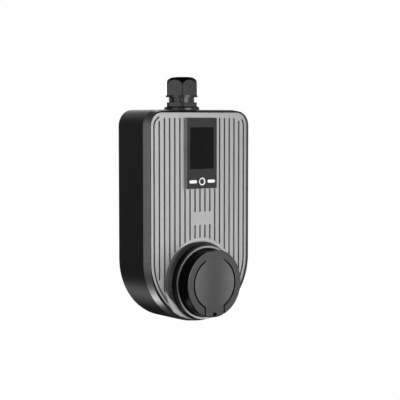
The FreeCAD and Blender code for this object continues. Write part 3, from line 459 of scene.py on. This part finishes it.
def panel_gap_shade(s):
    """1 on the outermost line of the panel's sides and lower round, painted shade for the gap beside the
    band that widens low down on the left.
    """
    across, _, height = s.axes()
    below = s.math("MINIMUM", s.math("SUBTRACT", height, bend_z), 0)
    reach = s.length(across, below)
    capped = s.math("MAXIMUM", below, -panel_shade_reach)
    growth = s.ranged(across, panel_shade_growth, 0, -10 * MM, 10 * MM)
    widened = s.math("SUBTRACT", reach, s.math("MULTIPLY", capped, growth))
    return s.step(widened, panel_half - panel_shade_line)


def rubber(name, level):
    """Dull rubber with a dusty mottle."""
    s = Shader(name)
    s.fixed(Specular_IOR_Level=0.3, Sheen_Weight=0.15)
    mottle = s.noise(600, 4)
    s.link(s.tinted(s.ranged(mottle, 0, 1), grey(level * 0.8), grey(level * 1.3)), "Base Color")
    s.link(s.ranged(mottle, 0.72, 0.86), "Roughness")
    s.bump(s.noise(3500, 3), 0.02 * MM, 0.5, 0.2 * MM)
    return s.material


def machined(name, colour, roughness, turn_scale):
    """Bare metal with fine tool marks."""
    s = Shader(name)
    s.fixed(Metallic=1.0)
    marks = s.noise(turn_scale, 3, (1, 0.05, 1))
    dark = tuple(c * 0.82 for c in colour)
    s.link(s.tinted(s.ranged(marks, 0, 1), dark, colour), "Base Color")
    s.link(s.ranged(marks, roughness, roughness + 0.12), "Roughness")
    s.bump(marks, 0.01 * MM, 0.5, 0.1 * MM)
    return s.material


def clear_black(name):
    """Polished black lens with faint wipe marks in its gloss."""
    s = Shader(name)
    s.fixed(Specular_IOR_Level=0.12, Coat_Weight=0.0)
    wipe = s.noise(90, 4, (1, 1, 0.25))
    s.link(s.tinted(s.ranged(wipe, 0, 1), grey(0.0065), grey(0.0085)), "Base Color")
    s.link(s.ranged(wipe, 0.06, 0.10), "Roughness")
    return s.material


def light_guide(name):
    """Milky light guide with a dark masked rim."""
    s = Shader(name)
    s.fixed(Subsurface_Weight=0.25, Subsurface_Scale=1.0 * MM)
    s.fixed(Specular_IOR_Level=0.4, Emission_Strength=0.5)
    cloud = s.noise(400, 3)
    across, _, height = s.axes()
    side = s.math("ABSOLUTE", across)
    from_middle = s.math("ABSOLUTE", s.math("SUBTRACT", side, pill_x))
    past = s.math("MAXIMUM", s.math("SUBTRACT", from_middle, pill_run), 0)
    up = s.math("SUBTRACT", height, control_z)
    at_pills = s.ranged(side, 0, 1, pill_from, pill_from + 0.5 * MM)
    at_ring = s.ranged(side, 1, 0, pill_from, pill_from + 0.5 * MM)
    pill = s.math("MULTIPLY", s.rim_of(past, up, pill_r - guide_rim), at_pills)
    ring = s.math("MULTIPLY", s.rim_of(side, up, ring_guide_r - guide_rim / 2), at_ring)
    milky = s.tinted(s.ranged(cloud, 0, 1), grey(0.84), grey(0.90))
    masked = s.tinted(s.ranged(cloud, 0, 1), grey(0.05), grey(0.07))
    colour = s.mixed(s.math("ADD", pill, ring), milky, masked)
    s.link(colour, "Base Color")
    s.link(colour, "Emission Color")
    s.link(s.ranged(cloud, 0.25, 0.35), "Roughness")
    return s.material


def solder_mask(name):
    """Green board lacquer over darker copper tracks."""
    s = Shader(name)
    s.fixed(Specular_IOR_Level=0.5)
    tracks = s.noise(420, 1, (1, 1, 0.15))
    shade = s.ranged(tracks, 0, 1, 0.48, 0.52)
    s.link(s.tinted(shade, (0.012, 0.07, 0.03), (0.02, 0.12, 0.05)), "Base Color")
    s.link(s.ranged(tracks, 0.3, 0.4), "Roughness")
    s.bump(tracks, 0.03 * MM, 0.5)
    return s.material


def make_materials():
    """Every material by the record's slot name."""
    return {
        "shell_black": moulded_plastic("shell_black", 0.005, 0.40, 0.3, 2600),
        "band_gunmetal": metal_paint("band_gunmetal", 0.44, 0.32, 0.9, 6000, 0.1 * MM, lip_gap_shade),
        "panel_silver": metal_paint("panel_silver", 0.475, 0.40, 0.85, 7000, 0.1 * MM, panel_masks),
        "bezel_grey": side_lit_plastic("bezel_grey", 0.40, 0.045, 0.45, 0.25, 3200),
        "screen_black": clear_black("screen_black"),
        "screen_unit": clear_black("screen_unit"),
        "light_white": light_guide("light_white"),
        "button_black": moulded_plastic("button_black", 0.02, 0.3, 0.4, 4000, 0.1 * MM),
        "socket_black": socket_plastic("socket_black", 0.006, 0.28, 1.0, 2600),
        "lid_black": crowned_lid("lid_black", 0.003, 0.30, 1.1, 2600),
        "seal_rubber": rubber("seal_rubber", 0.02),
        "contact_brass": machined("contact_brass", (0.80, 0.62, 0.34), 0.22, 3000),
        "steel": machined("steel", (0.62, 0.62, 0.63), 0.28, 3000),
        "gland_black": moulded_plastic("gland_black", 0.003, 0.16, 0.65, 3000, 0.2 * MM, 0.003 * MM),
        "board_green": solder_mask("board_green"),
        "terminal_plastic": moulded_plastic("terminal_plastic", 0.2, 0.45, 0.5, 2600),
        "relay_plastic": moulded_plastic("relay_plastic", 0.03, 0.4, 0.5, 2600),
        "core_iron": moulded_plastic("core_iron", 0.10, 0.6, 0.4, 1500),
        "capacitor_can": machined("capacitor_can", (0.60, 0.60, 0.62), 0.3, 2500),
    }


def dress(materials):
    """Give every node of the model the material of its slot, with smooth shading kept as packed."""
    slots = {row["node"]: row["material_slot"] for row in frame["record"]["subparts"]}
    for name, obj in nodes.items():
        obj.data.materials.clear()
        obj.data.materials.append(materials[slots[name]])


def piece(name, mesh, material, body):
    """A finished piece that moves with a body."""
    mesh.materials.append(material)
    obj = bpy.data.objects.new(name, mesh)
    bpy.context.scene.collection.objects.link(obj)
    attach(obj, body)
    return obj


def finished(name, bm, sharp=35):
    """A mesh from its working form, smooth but for its sharper edges."""
    bmesh.ops.recalc_face_normals(bm, faces=bm.faces)
    mesh = bpy.data.meshes.new(name)
    bm.to_mesh(mesh)
    bm.free()
    mesh.shade_smooth()
    mesh.set_sharp_from_angle(angle=math.radians(sharp))
    return mesh


def add_turned(bm, profile, place, steps):
    """Closed ring of (radius, height) points turned about an axis; place sets each point."""
    rings = []
    for i in range(steps):
        angle = 2 * math.pi * i / steps
        ring = [bm.verts.new(place(r * math.cos(angle), r * math.sin(angle), h)) for r, h in profile]
        rings.append(ring)
    count = len(profile)
    for i, ring in enumerate(rings):
        following = rings[(i + 1) % steps]
        for j in range(count):
            k = (j + 1) % count
            bm.faces.new((ring[j], ring[k], following[k], following[j]))


def rounded_top(inner_r, outer_r, low, high, rounding):
    """Ring profile from low to high with both edges of its high end rounded."""
    points = [(inner_r, low)]
    way = 1 if high > low else -1
    for i in range(edge_steps + 1):
        angle = math.pi / 2 * i / edge_steps
        across = rounding * (1 - math.cos(angle))
        up = rounding * (1 - math.sin(angle))
        points.append((inner_r + across, high - way * up))
    for i in range(edge_steps + 1):
        angle = math.pi / 2 * (1 - i / edge_steps)
        across = rounding * (1 - math.cos(angle))
        up = rounding * (1 - math.sin(angle))
        points.append((outer_r - across, high - way * up))
    points.append((outer_r, low))
    return points


def from_front(centre_x, centre_z):
    """Places points about an axis that runs front to back."""
    return lambda across, up, depth: (centre_x + across, depth, centre_z + up)


def add_bar(bm, degrees, near, far, width, low, high):
    """Radial bar about the socket's axis, drafted to its top, with bevelled upper edges."""
    angle = math.radians(degrees)
    along = (math.cos(angle), math.sin(angle))
    side = (-along[1], along[0])
    corners = []
    for depth, half, trim in ((low, width / 2, 0), (high, width * 0.36, width * 0.15)):
        for reach, sign in ((near + trim, -1), (far - trim, -1), (far - trim, 1), (near + trim, 1)):
            x = along[0] * reach + side[0] * half * sign
            z = along[1] * reach + side[1] * half * sign
            corners.append(bm.verts.new((x, depth, socket_z + z)))
    faces = [corners[:4], corners[4:]]
    for i in range(4):
        j = (i + 1) % 4
        faces.append([corners[i], corners[j], corners[4 + j], corners[4 + i]])
    made = [bm.faces.new(face) for face in faces]
    edges = list(made[1].edges)
    bmesh.ops.bevel(bm, geom=edges, offset=width * 0.12, segments=2, affect="EDGES")


def make_lid_ribs(material):
    """Hub, ribs and gussets that stiffen the inside of the lid."""
    bm = bmesh.new()
    low = lid_floor - sunk_in
    top = lid_floor + rib_height
    hub = rounded_top(hub_r, hub_r + rib_width, low, top, rib_round)
    add_turned(bm, hub, from_front(0, socket_z), hub_steps)
    boss = rounded_top(boss_inner_r, boss_outer_r, low, lid_floor + rib_height * 0.6, rib_round)
    add_turned(bm, boss, from_front(0, socket_z), small_steps)
    for degrees in spoke_angles:
        add_bar(bm, degrees, hub_r + rib_width * 0.8, seal_inner_r + sunk_in, rib_width, low, top)
    gusset_top = lid_floor + gusset_height
    for degrees in gusset_angles:
        add_bar(bm, degrees, seal_outer_r - sunk_in, lid_wall_r + sunk_in, rib_width, low, gusset_top)
    piece("lid_ribs", finished("lid_ribs", bm), material, "lid")


def make_contact_rims(material):
    """Raised rims about the seven contact holes."""
    bm = bmesh.new()
    for x, z, r in contacts:
        rim = rounded_top(r, r + contact_rim, contact_face + sunk_in, contact_face - 0.4 * MM, 0.2 * MM)
        add_turned(bm, rim, from_front(x, socket_z + z), small_steps)
    piece("contact_rims", finished("contact_rims", bm), material, "housing")


def make_gland_lips(material):
    """Two soft lips in the bore of the gland's seal."""
    seal_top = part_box("gland_seal")[1][2]
    bm = bmesh.new()
    for drop in lip_drops:
        top = seal_top - drop
        profile = [
            (seal_bore_r + sunk_in, top),
            (seal_bore_r - lip_shoulder, top - 0.4 * MM),
            (seal_bore_r - lip_reach, top - lip_height / 2),
            (seal_bore_r - lip_shoulder, top - 1.0 * MM),
            (seal_bore_r + sunk_in, top - lip_height),
        ]
        add_turned(bm, profile, lambda across, up, height: (across, cable_axis_y + up, height), lip_steps)
    piece("gland_lips", finished("gland_lips", bm, 60), material, "housing")


def make_insert_threads(material):
    """Thread ridges in the four wall inserts."""
    turns = thread_depth / thread_pitch
    count = int(turns * thread_steps)
    for i, (x, z) in enumerate(((-1, -1), (1, -1), (-1, 1), (1, 1))):
        curve = bpy.data.curves.new(f"insert_thread_{i + 1}", "CURVE")
        curve.dimensions = "3D"
        curve.bevel_depth = thread_ridge
        curve.bevel_resolution = 1
        curve.use_fill_caps = True
        line = curve.splines.new("POLY")
        line.points.add(count)
        for k, point in enumerate(line.points):
            angle = 2 * math.pi * k / thread_steps
            depth = thread_start + thread_pitch * k / thread_steps
            across = x * insert_x + insert_bore_r * math.cos(angle)
            up = z * insert_z + insert_bore_r * math.sin(angle)
            point.co = (across, -depth, up, 1)
        piece(curve.name, curve, material, "housing")


def make_pieces(materials):
    """Fine parts that the solids leave out."""
    # The ribs are a lighter grey than the lid: painted light in the lid's dark underside.
    inner = moulded_plastic("lid_inner_painted_light", 0.05, 0.45, 0.5, 2600, 0.1 * MM)
    make_lid_ribs(inner)
    make_contact_rims(materials["socket_black"])
    make_gland_lips(materials["seal_rubber"])
    make_insert_threads(materials["contact_brass"])


def emptied(owner):
    """The owner's emptied node tree, as a call that adds a node and one that joins two sockets."""
    owner.use_nodes = True
    owner.node_tree.nodes.clear()
    return owner.node_tree.nodes.new, owner.node_tree.links.new


def make_world():
    """White behind the object, and a plain studio round it, brightest in front at its height."""
    world = bpy.data.worlds.new("studio")
    bpy.context.scene.world = world
    add, join = emptied(world)
    path = add("ShaderNodeLightPath")
    place = add("ShaderNodeTexCoord")
    split = add("ShaderNodeSeparateXYZ")
    join(place.outputs["Generated"], split.inputs["Vector"])
    ramp = add("ShaderNodeValToRGB")
    stretch = add("ShaderNodeMapRange")
    stretch.inputs["From Min"].default_value = -1
    join(split.outputs["Z"], stretch.inputs["Value"])
    join(stretch.outputs["Result"], ramp.inputs["Fac"])
    stops = ramp.color_ramp.elements
    for stop, (position, level) in zip(stops, (dark_below, dark_above)):
        stop.position = position
        stop.color = (*grey(level), 1)
    for position, level in (bright_from, bright_to):
        stops.new(position).color = (*grey(level), 1)
    light = add("ShaderNodeBackground")
    join(ramp.outputs["Color"], light.inputs["Color"])
    fronted = add("ShaderNodeMapRange")
    fronted.interpolation_type = "SMOOTHSTEP"
    fronted.inputs["From Min"].default_value = front_edge
    fronted.inputs["From Max"].default_value = back_edge
    fronted.inputs["To Min"].default_value = front_strength
    fronted.inputs["To Max"].default_value = back_strength
    join(split.outputs["Y"], fronted.inputs["Value"])
    join(fronted.outputs["Result"], light.inputs["Strength"])
    white = add("ShaderNodeBackground")
    white.inputs["Color"].default_value = (*grey(1), 1)
    seen = add("ShaderNodeMath")
    seen.operation = "MAXIMUM"
    join(path.outputs["Is Camera Ray"], seen.inputs[0])
    join(path.outputs["Is Transmission Ray"], seen.inputs[1])
    mix = add("ShaderNodeMixShader")
    join(seen.outputs[0], mix.inputs[0])
    join(light.outputs[0], mix.inputs[1])
    join(white.outputs[0], mix.inputs[2])
    out = add("ShaderNodeOutputWorld")
    join(mix.outputs[0], out.inputs["Surface"])


def floor_material():
    """Pale floor that keeps the shadow near the object and is plain white further out."""
    material = bpy.data.materials.new("floor")
    add, join = emptied(material)
    place = add("ShaderNodeTexCoord")
    length = add("ShaderNodeVectorMath")
    length.operation = "LENGTH"
    join(place.outputs["Object"], length.inputs[0])
    fade = add("ShaderNodeMapRange")
    fade.interpolation_type = "SMOOTHSTEP"
    fade.inputs["From Min"].default_value = floor_clear_r
    fade.inputs["From Max"].default_value = floor_white_r
    fade.inputs["To Min"].default_value = floor_glow
    join(length.outputs["Value"], fade.inputs["Value"])
    path = add("ShaderNodeLightPath")
    seen = add("ShaderNodeMath")
    seen.operation = "MAXIMUM"
    join(path.outputs["Is Camera Ray"], seen.inputs[0])
    join(path.outputs["Is Transmission Ray"], seen.inputs[1])
    share = add("ShaderNodeMath")
    share.operation = "MULTIPLY"
    join(seen.outputs[0], share.inputs[0])
    join(fade.outputs["Result"], share.inputs[1])
    diffuse = add("ShaderNodeBsdfDiffuse")
    diffuse.inputs["Color"].default_value = (*grey(floor_grey), 1)
    glow = add("ShaderNodeEmission")
    mix = add("ShaderNodeMixShader")
    join(share.outputs[0], mix.inputs[0])
    join(diffuse.outputs[0], mix.inputs[1])
    join(glow.outputs[0], mix.inputs[2])
    out = add("ShaderNodeOutputMaterial")
    join(mix.outputs[0], out.inputs["Surface"])
    return material


def make_floor():
    """Plain pale floor below the hanging object."""
    mesh = bpy.data.meshes.new("floor")
    r = floor_reach
    mesh.from_pydata([(-r, -r, 0), (r, -r, 0), (r, r, 0), (-r, r, 0)], [], [(0, 1, 2, 3)])
    floor = bpy.data.objects.new("floor", mesh)
    floor.location = (0, 0, floor_height)
    mesh.materials.append(floor_material())
    floor.visible_diffuse = False
    floor.visible_glossy = False
    bpy.context.scene.collection.objects.link(floor)


def direction(azimuth, elevation):
    """Unit vector from the object, with azimuth 0 to the front and 90 to the right."""
    a = math.radians(azimuth)
    e = math.radians(elevation)
    return Vector((math.sin(a) * math.cos(e), -math.cos(a) * math.cos(e), math.sin(e)))


def make_lamp(name, azimuth, elevation, distance, width, height, radiance, target):
    """Softbox that looks at a point on the object, with its brightness given as radiance."""
    lamp = bpy.data.lights.new(name, "AREA")
    lamp.shape = "RECTANGLE"
    lamp.size = width
    lamp.size_y = height
    lamp.energy = radiance * math.pi * width * height
    obj = bpy.data.objects.new(name, lamp)
    back = direction(azimuth, elevation)
    obj.location = Vector(target) + back * distance
    obj.rotation_mode = "QUATERNION"
    obj.rotation_quaternion = (-back).to_track_quat("-Z", "Y")
    obj.visible_camera = False
    bpy.context.scene.collection.objects.link(obj)


def make_lights():
    """A wide front box with a strip before it, and dim boxes at both sides, below and behind."""
    for lamp in lamps:
        make_lamp(*lamp)


def make_camera():
    """Camera at the photograph's place."""
    data = bpy.data.cameras.new("camera")
    data.sensor_width = sensor_width_mm
    data.lens = focal_length_mm
    camera = bpy.data.objects.new("camera", data)
    camera.location = camera_place
    camera.rotation_mode = "QUATERNION"
    camera.rotation_quaternion = (camera_target - camera_place).to_track_quat("-Z", "Y")
    bpy.context.scene.collection.objects.link(camera)
    bpy.context.scene.camera = camera


bpy.context.scene.view_settings.view_transform = "Standard"
materials = make_materials()
dress(materials)
make_pieces(materials)
make_world()
make_floor()
make_lights()
make_camera()
